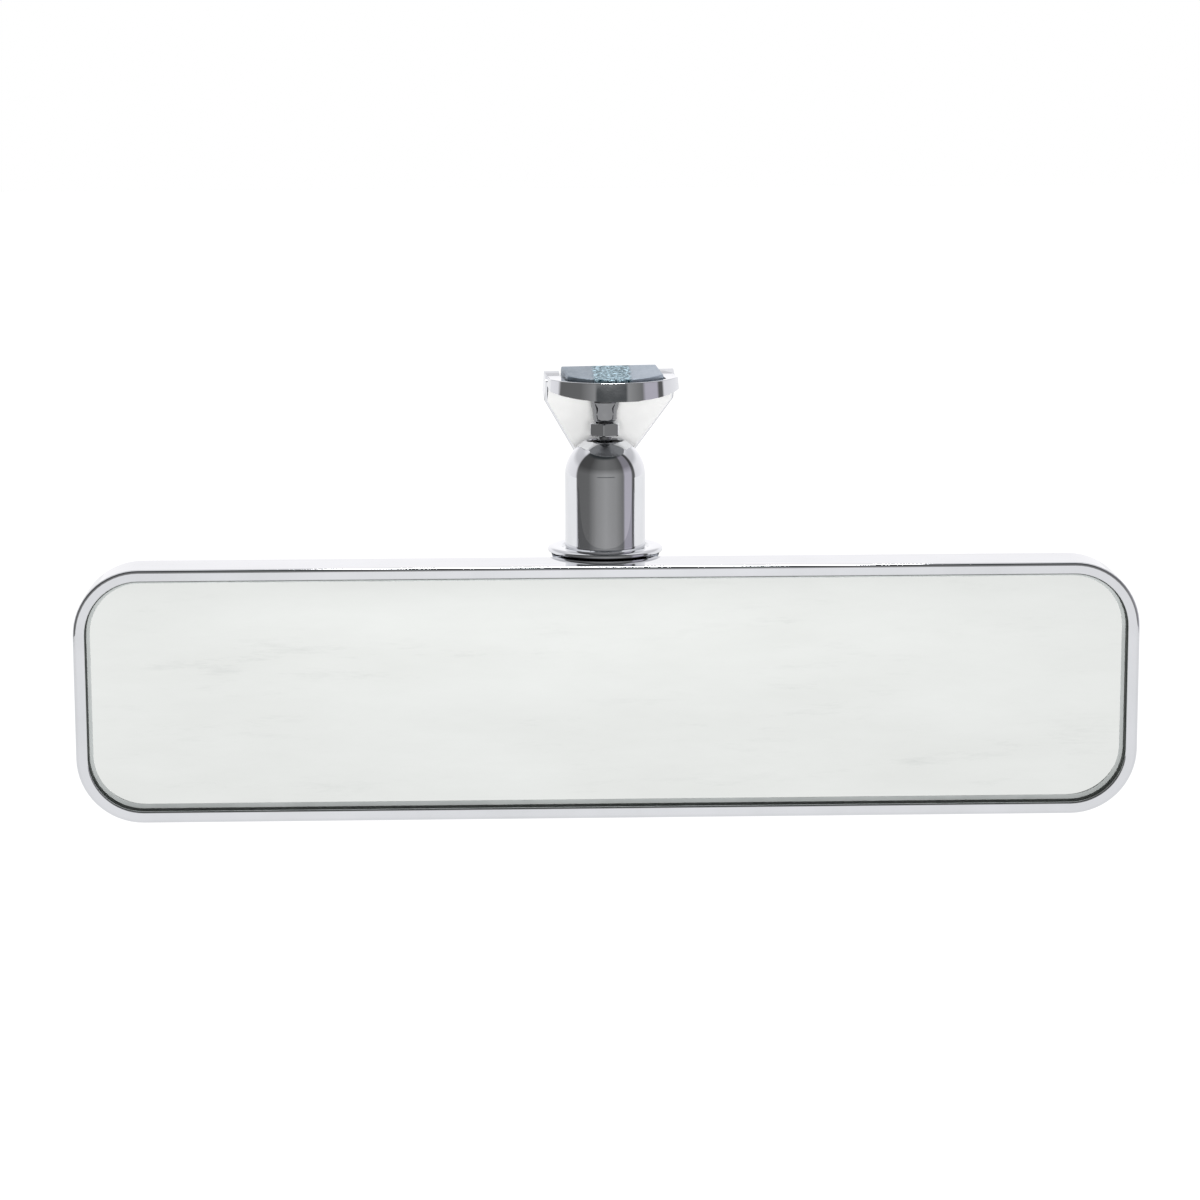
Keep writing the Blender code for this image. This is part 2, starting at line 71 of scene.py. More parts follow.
FOOT_X = 1.5                         # the foot sits a little right of the head's middle
FOOT_TURN = math.radians(6.5)        # the foot stands turned about the stud
UNDERCUT = math.radians(9.0)         # rise of the foot's underside to the rear
FOOT_FLOOR, FOOT_TOP = 69.0, 73.45   # collar of the foot
GLASS_LEAN = math.radians(30.0)      # windscreen, from upright
PLANE_Y, PLANE_Z = 25.5, 75.2        # where the windscreen passes over the foot


def at(x, y, z):
    """Bench millimetres to metres in the part's frame."""
    return BENCH + Vector((x, y, z)) * MM


def on_glass_plane(x, s, h):
    """Point of the windscreen plane: x across, s down the slope, h towards the windscreen."""
    c = math.cos(GLASS_LEAN)
    n = math.sin(GLASS_LEAN)
    return at(FOOT_X + x, PLANE_Y + s * n + h * c, PLANE_Z - s * c + h * n)


PLANE_NORMAL = Vector((0.0, math.cos(GLASS_LEAN), math.sin(GLASS_LEAN)))
SLOPE = Vector((0.0, math.sin(GLASS_LEAN), -math.cos(GLASS_LEAN)))


# ---- bench tools ------------------------------------------------------------------------

def lay_down():
    """Leave edit mode with nothing selected."""
    if bpy.context.mode != "OBJECT":
        bpy.ops.object.mode_set(mode="OBJECT")
    bpy.ops.object.select_all(action="DESELECT")


def take(piece):
    """Select one piece alone."""
    lay_down()
    piece.select_set(True)
    bpy.context.view_layer.objects.active = piece


def work_on(piece):
    """Open one piece in edit mode."""
    take(piece)
    bpy.ops.object.mode_set(mode="EDIT")


def settle(name):
    """Name the piece just added and put its place into its mesh."""
    piece = bpy.context.active_object
    piece.name = name
    piece.data.name = name
    bpy.ops.object.transform_apply(location=True, rotation=True, scale=True)
    return piece


def pick(piece, kind, test):
    """Select the faces, edges or corners that pass the test, in edit mode."""
    bpy.ops.mesh.select_mode(type=kind)
    bpy.ops.mesh.select_all(action="DESELECT")
    bm = bmesh.from_edit_mesh(piece.data)
    parts = {"FACE": bm.faces, "EDGE": bm.edges, "VERT": bm.verts}[kind]
    bm.normal_update()
    for part in parts:
        if test(part):
            part.select_set(True)
    bm.select_flush_mode()
    bmesh.update_edit_mesh(piece.data)


def facing(direction, limit):
    """Test for faces whose normal lies along a direction."""
    axis = Vector(direction).normalized()
    return lambda face: face.normal.dot(axis) > limit


def push(dx=0.0, dy=0.0, dz=0.0):
    """Extrude what is selected by bench millimetres."""
    move = {"value": (dx * MM, dy * MM, dz * MM)}
    bpy.ops.mesh.extrude_region_move(TRANSFORM_OT_translate=move)


def step_in(inset, lift=0.0):
    """Inset the selected face by bench millimetres and lift it along its own normal."""
    bpy.ops.mesh.inset(thickness=inset * MM, depth=lift * MM, use_even_offset=True)


def round_over(inset, lift, steps):
    """Take the selected face round a quarter ellipse, from upright sides to lying flat."""
    for i in range(steps):
        a = QUARTER * i / steps
        b = QUARTER * (i + 1) / steps
        step_in(inset * (math.cos(a) - math.cos(b)), lift * (math.sin(b) - math.sin(a)))


def roll_in(inset, drop, steps):
    """Take the selected face from lying flat round a quarter ellipse into the piece."""
    for i in range(steps):
        a = QUARTER * i / steps
        b = QUARTER * (i + 1) / steps
        step_in(inset * (math.sin(b) - math.sin(a)), -drop * (math.cos(a) - math.cos(b)))


def pick_cap(piece, depth):
    """Select the flat face that lies at a depth, whichever way it points."""
    level = BENCH.y + depth * MM
    pick(piece, "FACE", lambda f: abs(f.normal.y) > 0.97
         and abs(f.calc_center_median().y - level) < 1e-5)


def crown(steps):
    """Draw the selected face in by shares of its width and height, lifting it backwards."""
    for across, up, lift in steps:
        push(dy=lift)
        bpy.ops.transform.resize(value=(across, 1.0, up), center_override=at(0.0, 0.0, 0.0))


def tidy_mesh(piece, merge=1e-6):
    """Merge corners that meet and turn every face outwards."""
    work_on(piece)
    bpy.ops.mesh.select_all(action="SELECT")
    bpy.ops.mesh.remove_doubles(threshold=merge)
    bpy.ops.mesh.normals_make_consistent(inside=False)
    lay_down()


def trim(piece, point, normal, fill=True):
    """Cut away what lies on the normal's side of a plane."""
    work_on(piece)
    bpy.ops.mesh.select_all(action="SELECT")
    bpy.ops.mesh.bisect(plane_co=point, plane_no=normal, use_fill=fill, clear_outer=True)
    lay_down()


def apply_modifier(piece, kind, **settings):
    """Add one modifier and apply it."""
    take(piece)
    modifier = piece.modifiers.new(kind.lower(), kind)
    for key, value in settings.items():
        setattr(modifier, key, value)
    bpy.ops.object.modifier_apply(modifier=modifier.name)


def soften(piece, width, segments, angle):
    """Bevel every edge sharper than an angle in degrees."""
    apply_modifier(piece, "BEVEL", width=width * MM, segments=segments, limit_method="ANGLE",
                   angle_limit=math.radians(angle), use_clamp_overlap=True)


def join_solid(piece, tool, operation="UNION"):
    """Add, cut or intersect a piece with a tool, which is then used up."""
    apply_modifier(piece, "BOOLEAN", operation=operation, solver="MANIFOLD", object=tool)
    bpy.data.objects.remove(tool, do_unlink=True)


def turned(name, profile, centre=AXIS, steps=96, upright=True):
    """Draw a profile of (radius, reach) by extruding one corner, then spin it.

    The axis is upright at centre (x, y), or runs fore and aft at centre (x, z).
    """
    if upright:
        hub, reach, along = (centre[0], centre[1], 0.0), (0.0, 0.0, 1.0), 2
    else:
        hub, reach, along = (centre[0], 0.0, centre[1]), (0.0, 1.0, 0.0), 1
    first = list(hub)
    first[0] += profile[0][0]
    first[along] += profile[0][1]
    lay_down()
    bpy.ops.mesh.primitive_plane_add(size=0.1 * MM, location=at(*first))
    piece = settle(name)
    work_on(piece)
    bpy.ops.mesh.select_mode(type="VERT")
    bpy.ops.mesh.select_all(action="SELECT")
    bpy.ops.mesh.merge(type="CENTER")
    bpy.ops.mesh.select_all(action="SELECT")
    last = profile[0]
    for point in profile[1:]:
        move = [(point[0] - last[0]) * MM, 0.0, 0.0]
        move[along] = (point[1] - last[1]) * MM
        bpy.ops.mesh.extrude_vertices_move(TRANSFORM_OT_translate={"value": tuple(move)})
        last = point
    bpy.ops.mesh.select_all(action="SELECT")
    bpy.ops.mesh.spin(steps=steps, angle=2 * math.pi, center=at(*hub), axis=reach)
    tidy_mesh(piece)
    return piece


def bend(cx, cz, radius, start, end, steps):
    """Points of an arc in a profile, angles in degrees from level."""
    points = []
    for i in range(steps + 1):
        a = math.radians(start + (end - start) * i / steps)
        points.append((cx + radius * math.cos(a), cz + radius * math.sin(a)))
    return points


def head_plate(name, inset, depth, front=True):
    """Flat rounded rectangle of the head's outline, moved in by inset, lying at a depth."""
    lay_down()
    turn = QUARTER if front else -QUARTER
    bpy.ops.mesh.primitive_plane_add(size=1.0, location=at(0.0, depth, 0.0),
                                     rotation=(turn, 0.0, 0.0))
    wide, high = HEAD_W - 2 * inset, HEAD_H - 2 * inset
    bpy.context.active_object.scale = (wide * MM, high * MM, 1.0)
    piece = settle(name)
    work_on(piece)
    bpy.ops.mesh.select_all(action="SELECT")
    bpy.ops.mesh.bevel(offset=(CORNER_R - inset) * MM, segments=16, profile=0.5, affect="VERTICES")
    return piece


# ---- finishes ---------------------------------------------------------------------------

class NodeBench:
    """Short ways to add and join nodes in one node tree."""

    def __init__(self, tree):
        self.tree = tree

    def link(self, a, b):
        self.tree.links.new(a, b)

    def feed(self, socket, value):
        """Give a socket a number, a colour, or another node's output."""
        if isinstance(value, (int, float)):
            socket.default_value = value
        elif isinstance(value, tuple):
            socket.default_value = (*value, 1.0)
        else:
            self.link(value, socket)

    def split(self, vector):
        node = self.tree.nodes.new("ShaderNodeSeparateXYZ")
        self.link(vector, node.inputs["Vector"])
        return node.outputs

    def maths(self, operation, a, b=0.0):
        node = self.tree.nodes.new("ShaderNodeMath")
        node.operation = operation
        self.feed(node.inputs[0], a)
        self.feed(node.inputs[1], b)
        return node.outputs[0]

    def mix(self, factor, a, b, kind="MIX"):
        node = self.tree.nodes.new("ShaderNodeMix")
        node.data_type = "RGBA"
        node.blend_type = kind
        for socket, value in ((0, factor), (6, a), (7, b)):
            self.feed(node.inputs[socket], value)
        return node.outputs[2]

    def ramp(self, source, low, high, start=0.35, end=0.65):
        node = self.tree.nodes.new("ShaderNodeMapRange")
        node.inputs["From Min"].default_value = start
        node.inputs["From Max"].default_value = end
        node.inputs["To Min"].default_value = low
        node.inputs["To Max"].default_value = high
        self.link(source, node.inputs["Value"])
        return node.outputs["Result"]

    def stepped(self, source, stops):
        """Run through (place, tone) stops; a tone is a grey or a colour."""
        node = self.tree.nodes.new("ShaderNodeValToRGB")
        self.link(source, node.inputs["Fac"])
        while len(node.color_ramp.elements) < len(stops):
            node.color_ramp.elements.new(0.5)
        for element, (place, tone) in zip(node.color_ramp.elements, stops):
            element.position = place
            colour = tone if isinstance(tone, tuple) else (tone, tone, tone)
            element.color = (*colour, 1.0)
        return node.outputs["Color"]

    def seen_directly(self):
        return self.tree.nodes.new("ShaderNodeLightPath").outputs["Is Camera Ray"]


class Finish(NodeBench):
    """One procedural material on the piece's own coordinates."""

    def __init__(self, name, colour, roughness, metallic):
        self.mat = bpy.data.materials.new(name)
        self.mat.use_nodes = True
        super().__init__(self.mat.node_tree)
        self.shader = self.tree.nodes["Principled BSDF"]
        self.shader.inputs["Base Color"].default_value = (*colour, 1.0)
        self.shader.inputs["Roughness"].default_value = roughness
        self.shader.inputs["Metallic"].default_value = metallic
        self.coords = self.tree.nodes.new("ShaderNodeTexCoord")
        self.bump_out = None

    def node(self, kind, **inputs):
        node = self.tree.nodes.new(kind)
        for key, value in inputs.items():
            node.inputs[key].default_value = value
        return node

    def placed(self, stretch=(1.0, 1.0, 1.0), shift=(0.0, 0.0, 0.0)):
        mapping = self.node("ShaderNodeMapping", Scale=stretch, Location=shift)
        self.link(self.coords.outputs["Object"], mapping.inputs["Vector"])
        return mapping.outputs["Vector"]

    def noise(self, size, detail=3.0, rough=0.5, stretch=(1.0, 1.0, 1.0)):
        """Noise whose features are about size millimetres."""
        node = self.node("ShaderNodeTexNoise", Scale=1.0 / (size * MM), Detail=detail,
                         Roughness=rough)
        self.link(self.placed(stretch), node.inputs["Vector"])
        return node.outputs["Fac"]

    def cells(self, size):
        node = self.node("ShaderNodeTexVoronoi", Scale=1.0 / (size * MM))
        self.link(self.placed(), node.inputs["Vector"])
        return node.outputs["Distance"]

    def colour(self, source):
        self.link(source, self.shader.inputs["Base Color"])

    def roughness(self, source):
        self.link(source, self.shader.inputs["Roughness"])

    def bump(self, source, height):
        """Relief of a height in millimetres, on top of any relief already there."""
        node = self.node("ShaderNodeBump", Strength=1.0, Distance=height * MM)
        self.link(source, node.inputs["Height"])
        if self.bump_out:
            self.link(self.bump_out, node.inputs["Normal"])
        self.bump_out = node.outputs["Normal"]
        self.link(self.bump_out, self.shader.inputs["Normal"])
        return self


def plated_chrome(name, grain=(1.0, 1.0, 1.0), ripple=0.0, ripple_size=6.0, bright=1.0):
    """Bright plating: handling haze, polishing lines along the grain, ripple of the metal."""
    clean = tuple(bright * c for c in (0.80, 0.81, 0.835))
    handled = tuple(bright * c for c in (0.75, 0.762, 0.78))
    f = Finish(name, clean, 0.04, 1.0)
    haze_map = f.noise(14.0, detail=5.0, rough=0.6)
    spots = f.noise(2.2, detail=4.0, rough=0.7)
    dull = f.maths("MULTIPLY", f.ramp(haze_map, 0.0, 1.0, 0.42, 0.72),
                   f.ramp(spots, 0.3, 1.0, 0.3, 0.75))
    polished, dulled = 0.035, 0.05
    f.roughness(f.maths("ADD", polished, f.maths("MULTIPLY", dull, dulled)))
    f.colour(f.mix(f.ramp(haze_map, 0.0, 1.0, 0.3, 0.75), clean, handled))
    lines = f.noise(0.5, detail=2.0, rough=0.6, stretch=grain)
    f.bump(lines, 0.0006)
    if ripple:
        f.bump(f.noise(ripple_size, detail=1.5, rough=0.4), ripple)
    return f.mat


def silvered_glass():
    """Mirror glass: silvering seen through the pane, with old wiping marks and cloudy patches."""
    f = Finish("silvered_glass", (0.80, 0.82, 0.80), 0.02, 1.0)
    clouds = f.noise(26.0, detail=6.0, rough=0.62, stretch=(0.45, 1.0, 1.5))
    wisps = f.noise(9.0, detail=5.0, rough=0.7, stretch=(0.35, 1.0, 2.2))
    marks = f.maths("MULTIPLY", f.ramp(wisps, 0.0, 1.0, 0.55, 0.78),
                    f.ramp(clouds, 0.0, 1.0, 0.45, 0.7))
    base = f.mix(f.ramp(clouds, 0.0, 1.0, 0.3, 0.7), (0.825, 0.842, 0.818), (0.775, 0.79, 0.765))
    f.colour(f.mix(marks, base, (0.66, 0.68, 0.66)))
    f.roughness(f.maths("ADD", 0.012, f.maths("MULTIPLY", marks, 0.10)))
    return f.mat


def bare_margin():
    """Frosted margin of the pane, where the silvering stops short of the edge."""
    f = Finish("pane_margin", (0.58, 0.61, 0.60), 0.5, 0.0)
    f.colour(f.mix(f.ramp(f.noise(8.0, detail=4.0), 0.0, 1.0),
                   (0.60, 0.63, 0.62), (0.53, 0.56, 0.55)))
    f.roughness(f.ramp(f.noise(0.8, detail=3.0), 0.4, 0.6))
    return f.bump(f.noise(0.3, detail=2.0), 0.005).mat


def cast_zinc(centre_x):
    """Blue-grey zinc: smooth at the sides, coarse casting skin in the middle whose grit is painted
    with glints on its peaks and shade in its pits; painted darker on the left and lighter on the
    right.
    """
    f = Finish("cast_zinc", (0.55, 0.63, 0.70), 0.4, 0.9)
    across = f.split(f.placed(shift=(-centre_x, 0.0, 0.0)))["X"]
    off = f.maths("ABSOLUTE", across)
    ragged = f.maths("ADD", off, f.maths("MULTIPLY", f.noise(1.6, detail=4.0), 1.6 * MM))
    middle = f.ramp(ragged, 1.0, 0.0, 4.9 * MM, 5.6 * MM)
    grit = f.noise(0.85, detail=6.0, rough=0.75)
    flakes = f.cells(0.7)
    # the tone runs from dark on the left to light on the right: painted shade on the left and
    # painted light on the right of the button
    side = f.ramp(across, 0.0, 1.0, -6.0 * MM, 8.0 * MM)
    tone = f.mix(side, (0.25, 0.30, 0.35), (0.44, 0.50, 0.57))
    smooth = f.mix(f.ramp(f.noise(5.0, detail=3.0), 0.0, 0.6), tone, (0.36, 0.42, 0.48))
    # the grit's peaks are painted blue-white and its pits near black: painted glints and painted
    # shade in the casting skin
    grit_glints_and_pit_shade = f.mix(f.ramp(grit, 0.0, 1.0, 0.45, 0.56),
                    (0.02, 0.07, 0.095), (0.52, 0.70, 0.79))
    f.colour(f.mix(middle, smooth, grit_glints_and_pit_shade))
    f.roughness(f.maths("ADD", 0.30, f.maths("MULTIPLY", f.ramp(grit, 0.0, 1.0), 0.22)))
    rough = f.maths("MULTIPLY", middle, f.maths("ADD", grit, flakes))
    f.bump(rough, 0.35)
    f.bump(f.noise(0.3, detail=3.0), 0.01)
    return f.mat


def machined_steel(name, colour, roughness, grain=(1.0, 1.0, 1.0)):
    f = Finish(name, colour, roughness, 1.0)
    marks = f.noise(0.8, detail=5.0, rough=0.65, stretch=grain)
    dark = tuple(0.72 * c for c in colour)
    f.colour(f.mix(f.ramp(f.noise(4.0, detail=4.0, rough=0.6), 0.0, 1.0), colour, dark))
    f.roughness(f.ramp(marks, roughness - 0.08, roughness + 0.12))
    return f.bump(marks, 0.008).mat


def underside_painted_shade():
    """Dull dark metal on the foot's downward faces: painted shade under the foot."""
    f = Finish("foot_underside_painted_shade", (0.25, 0.255, 0.26), 0.32, 0.9)
    skin = f.noise(1.4, detail=5.0, rough=0.65)
    f.colour(f.mix(f.ramp(skin, 0.0, 1.0), (0.235, 0.24, 0.245), (0.27, 0.275, 0.28)))
    f.roughness(f.ramp(skin, 0.28, 0.4))
    return f.bump(skin, 0.006).mat


def satin_plating():
    """Plating over a tumbled, unpolished face: pale and soft, with a fine pebble."""
    f = Finish("foot_satin", (0.95, 0.95, 0.935), 0.45, 0.1)
    pebble = f.noise(0.7, detail=4.0, rough=0.6)
    f.colour(f.mix(f.ramp(f.noise(6.0, detail=4.0), 0.0, 1.0),
                   (0.97, 0.97, 0.955), (0.92, 0.92, 0.905)))
    f.roughness(f.ramp(pebble, 0.40, 0.52))
    return f.bump(pebble, 0.01).mat


def moulded_nylon(name):
    f = Finish(name, (0.84, 0.83, 0.77), 0.42, 0.0)
    f.colour(f.mix(f.ramp(f.noise(3.0, detail=4.0), 0.0, 1.0),
                   (0.86, 0.85, 0.79), (0.79, 0.77, 0.70)))
    f.roughness(f.ramp(f.noise(0.6, detail=3.0), 0.36, 0.52))
    return f.bump(f.noise(0.4, detail=2.0), 0.01).mat


def black_sealing_rubber(name):
    f = Finish(name, (0.035, 0.042, 0.038), 0.6, 0.0)
    f.colour(f.mix(f.ramp(f.noise(2.0, detail=4.0), 0.0, 1.0),
                   (0.028, 0.036, 0.032), (0.055, 0.062, 0.056)))
    f.roughness(f.ramp(f.noise(0.5, detail=3.0), 0.5, 0.75))
    return f.bump(f.noise(0.35, detail=3.0, rough=0.6), 0.02).mat


def grey_foam(name):
    f = Finish(name, (0.17, 0.17, 0.18), 0.95, 0.0)
    pores_and_pore_shade = f.cells(0.6)
    # the pores are painted darker than the cell walls: painted shade in the pores
    f.colour(f.mix(f.ramp(pores_and_pore_shade, 0.0, 1.0, 0.1, 0.6), (0.09, 0.09, 0.095), (0.21, 0.21, 0.22)))
    return f.bump(pores_and_pore_shade, 0.15).mat


# ---- head -------------------------------------------------------------------------------

def fit(piece, material, body, nodes, angle=32.0):
    """Shade, finish and mount one piece, and hide the CAD nodes it stands for."""
    take(piece)
    bpy.ops.object.shade_smooth_by_angle(angle=math.radians(angle))
    apply_modifier(piece, "WEIGHTED_NORMAL", keep_sharp=True, weight=80)
    piece.data.materials.clear()
    piece.data.materials.append(material)
    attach(piece, body)
    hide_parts(*nodes)
    return piece


def refinish(piece, material, test):
    """Give the faces that pass the test their own finish."""
    piece.data.materials.append(material)
    work_on(piece)
    pick(piece, "FACE", test)
    bpy.context.object.active_material_index = len(piece.data.materials) - 1
    bpy.ops.object.material_slot_assign()
    lay_down()
    return piece


def bezel():
    """Frame: rounded outer edge, a face that is barely dished, and a lip turned in to the glass."""
    edge, inner_edge, back_edge = 0.75, 0.3, 0.25
    crease, dish, wall = 0.04, 0.07, 0.95
    piece = head_plate("bezel", 0.0, BEZEL_DEPTH - back_edge)
    push(dy=-(BEZEL_DEPTH - back_edge - edge))
    round_over(edge, edge, 7)
    step_in(crease)
    step_in(BEZEL_FACE - edge - inner_edge - 2 * crease, -dish)
    step_in(crease)
    roll_in(inner_edge, inner_edge, 5)
    push(dy=LIP_DEPTH - inner_edge - dish)
    bpy.ops.mesh.delete(type="FACE")
    pick_cap(piece, BEZEL_DEPTH - back_edge)
    round_over(back_edge, back_edge, 3)
    step_in(wall)
    push(dy=-(BEZEL_DEPTH - LIP_DEPTH))
    step_in(BEZEL_FACE - wall - back_edge)
    bpy.ops.mesh.delete(type="FACE")
    tidy_mesh(piece, 2e-5)
    mat = plated_chrome("bezel_chrome", grain=(0.06, 1.0, 1.0), bright=0.88)
    return fit(piece, mat, "head", ["bezel_frame"])


def back_shell():
    """Pressed dish: rolled edge, then a back that is only just crowned, and a hollow inside."""
    mouth, wall = 14.0, 1.3
    piece = head_plate("back_shell", 0.2, mouth, front=False)
    push(dy=0.4)
    round_over(9.0, 5.4, 14)
    crown(((0.94, 0.80, 0.06), (0.92, 0.75, 0.05), (0.88, 0.65, 0.05),
           (0.7, 0.5, 0.03), (0.1, 0.2, 0.01)))
    pick_cap(piece, mouth)
    step_in(wall)
    push(dy=-5.0)
    step_in(1.0)
    push(dy=6.4)
    round_over(6.0, 3.4, 6)
    tidy_mesh(piece)
    mat = plated_chrome("back_chrome", grain=(0.05, 1.0, 1.0), ripple=0.02, ripple_size=45.0)
    return fit(piece, mat, "head", ["rear_shell"])


def glass_pane():
    """Pane a little thinner than its seat, leaning forward by a fraction of a degree."""
    low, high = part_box("mirror_glass")
    front = (low.y - BENCH.y) / MM + 0.35
    back = (high.y - BENCH.y) / MM - 0.25
    inset = HEAD_W / 2 - (high.x - low.x) / 2 / MM
    edge, margin = 0.3, 1.0
    piece = head_plate("glass_pane", inset, back)
    push(dy=-(back - front - edge))
    round_over(edge, edge, 2)
    step_in(BEZEL_FACE + margin - inset - edge)
    bpy.ops.mesh.select_all(action="SELECT")
    middle = at(0.0, (front + back) / 2, 0.0)
    bpy.ops.transform.rotate(value=-GLASS_SET, orient_axis="X", center_override=middle)
    tidy_mesh(piece)
    fit(piece, silvered_glass(), "head", ["mirror_glass"], angle=25.0)
    silvered_area = 1e-3    # square metres; every face of the margin is smaller
    return refinish(piece, bare_margin(),
                    lambda f: f.normal.y < -0.9 and f.calc_area() < silvered_area)


def glass_bead():
    """Black sealing strip round the pane, with the thin lip that shows inside the frame."""
    back, seat, web, rise = 8.5, LIP_DEPTH + 0.05, 0.2, 2.2
    outer, lip, roll, drop = 1.55, 0.05, 0.05, 0.1
    tuck, strip = 0.02, 0.38
    piece = head_plate("glass_bead", outer, back)
    push(dy=-(back - seat))
    step_in(BEZEL_FACE - outer + tuck)
    push(dy=-rise)
    round_over(roll, roll, 2)
    step_in(lip)
    roll_in(roll, roll, 2)
    push(dy=rise + web)
    bpy.ops.mesh.delete(type="FACE")
    pick_cap(piece, back)
    step_in(strip)
    push(dy=-(back - seat - web))
    step_in(BEZEL_FACE - outer - strip + tuck + lip + 2 * roll)
    bpy.ops.mesh.delete(type="FACE")
    bpy.ops.mesh.select_all(action="SELECT")
    bpy.ops.transform.translate(value=(0.0, 0.0, -drop * MM))
    tidy_mesh(piece, 3e-5)
    mat = black_sealing_rubber("bead_rubber")
    return fit(piece, mat, "head", ["glass_seal"])


def build_head():
    bezel()
    back_shell()
    glass_pane()
    glass_bead()


# ---- tube and bracket -------------------------------------------------------------------

def tube():
    """Chrome tube with a domed top, rolled in round the opening for the stud."""
    hole, wall, break_edge, roll = 4.35, 1.2, 0.25, 0.42
    foot_z = (TUBE_LOW.z - BENCH.z) / MM
    lip = math.degrees(math.acos((hole + 0.55) / TUBE_R))
    inner = TUBE_R - wall
    profile = [(inner, foot_z), (TUBE_R - break_edge, foot_z), (TUBE_R, foot_z + break_edge)]
    profile += [(TUBE_R, BALL_Z - 0.1)]
    profile += bend(0.0, BALL_Z, TUBE_R, 0.0, lip, 30)
    rim_z = profile[-1][1] + 0.02
    profile += bend(hole + roll, rim_z - 0.28, roll, 75.0, 180.0, 7)[1:]
    profile += [(hole, BALL_Z + 7.6)]
    profile += bend(0.0, BALL_Z, inner, 58.0, 0.0, 12)
    profile += [(inner, foot_z)]
    piece = turned("tube", profile, steps=128)
    mat = plated_chrome("tube_chrome", grain=(1.0, 1.0, 0.03), ripple=0.004, ripple_size=3.0)
    return fit(piece, mat, "head", ["pivot_tube"])


def bracket():
    """Flange under the tube with its spigot, the corbel behind it, and the leg down the back."""
    rim_z = 30.95
    rim = ((0.0, 0.0), (13.7, 0.0), (13.85, 0.08), (13.9, 0.2), (13.84, 0.62), (13.68, 0.86),
           (13.4, 1.02), (12.95, 1.12), (12.3, 1.18), (11.4, 1.18), (10.6, 1.08), (10.1, 0.6),
           (8.2, 0.55))
    spigot = [(8.2, 35.6), (7.8, 36.0), (0.0, 36.0)]
    piece = turned("bracket", [(r, rim_z + rise) for r, rise in rim] + spigot, steps=128)

    corbel = [(0.0, 15.6), (4.4, 15.6), (6.6, 17.6), (9.2, 21.4), (11.5, 26.0), (12.8, 29.2),
              (13.4, 31.1), (0.0, 31.1)]
    block = turned("corbel", corbel, steps=96)
    leg_front, leg_thick = 20.3, 4.0
    trim(block, at(0.0, leg_front, 0.0), (0.0, -1.0, 0.0))
    join_solid(piece, block)

    leg_low, leg_high, leg_wide = -9.0, 31.05, 22.0
    middle = (leg_low + leg_high) / 2
    lay_down()
    bpy.ops.mesh.primitive_cube_add(size=1.0, location=at(0.0, leg_front + leg_thick / 2, middle))
    bpy.context.active_object.scale = (leg_wide * MM, leg_thick * MM, (leg_high - leg_low) * MM)
    leg = settle("leg")
    work_on(leg)
    below = at(0.0, 0.0, leg_low + 0.1).z
    pick(leg, "EDGE", lambda e: all(v.co.z < below for v in e.verts)
         and abs(e.verts[0].co.y - e.verts[1].co.y) > MM)
    bpy.ops.mesh.bevel(offset=(leg_wide / 2 - 0.1) * MM, segments=14, profile=0.5)
    lay_down()
    soften(leg, 0.8, 4, 50.0)
    join_solid(piece, leg)
    tidy_mesh(piece)
    mat = plated_chrome("bracket_chrome", ripple=0.012, ripple_size=5.0)
    return fit(piece, mat, "head", ["arm_bracket"], angle=35.0)


def cross_screw(number):
    """Pan-head screw with a cross recess, on the back of the bracket's leg."""
    name = "bracket_screw_%d" % number
    low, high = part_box(name)
    x = ((low.x + high.x) / 2 - BENCH.x) / MM
    z = ((low.z + high.z) / 2 - BENCH.z) / MM
    tip = (low.y - BENCH.y) / MM
    back = (high.y - BENCH.y) / MM
    head = (high.x - low.x) / 2 / MM
    shank, dome = 1.55, 1.4
    seat = back - 2.0
    profile = [(0.0, tip), (1.3, tip), (shank, tip + 0.3), (shank, seat), (head - 0.1, seat)]
    profile += [(head, seat + 0.1), (head, seat + 0.6)]
    profile += bend(head - dome, back - dome, dome, 0.0, 90.0, 8) + [(0.0, back)]
    piece = turned(name + "_finished", profile, centre=(x, z), steps=48, upright=False)
    recess_turn, recess_depth = 0.25, 0.7
    for turn in (recess_turn, recess_turn + QUARTER):
        lay_down()
        bpy.ops.mesh.primitive_cube_add(size=1.0, location=at(x, back - recess_depth / 2, z),
                                        rotation=(0.0, turn, 0.0))
        bpy.context.active_object.scale = (3.2 * MM, 1.7 * MM, recess_depth * MM)
        join_solid(piece, settle("recess_tool"), "DIFFERENCE")
    mat = machined_steel(name + "_steel", (0.60, 0.60, 0.62), 0.24)
    return fit(piece, mat, "head", [name], angle=30.0)


# ---- stud -------------------------------------------------------------------------------

def stud():
    """Ball, neck, and the flare that stands against the foot."""
    low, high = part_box("ball_stud")
    ball_r = (high.x - low.x) / 2 / MM
    neck = 1.9
    start = math.degrees(math.acos(neck / ball_r))
    profile = bend(0.0, BALL_Z, ball_r, -90.0, start, 36)
    profile += [(neck, 62.2), (2.5, 62.35), (2.8, 62.7), (2.95, 63.2), (3.0, 64.4), (3.12, 65.2)]
    profile += [(3.35, 65.9), (3.5, 66.5), (3.58, 67.2), (3.6, 69.6), (3.55, 70.0), (3.4, 70.2)]
    profile += [(2.0, 70.2), (2.0, 70.9), (1.7, 71.2), (0.0, 71.2)]
    piece = turned("stud", profile, steps=72)
    # bright=0.32 darkens the whole stud's plating: painted shade standing in for the dark
    # reflections round the neck
    mat = plated_chrome("stud_chrome_painted_dark", ripple=0.03, ripple_size=1.5, bright=0.32)
    return fit(piece, mat, "foot", ["ball_stud"])


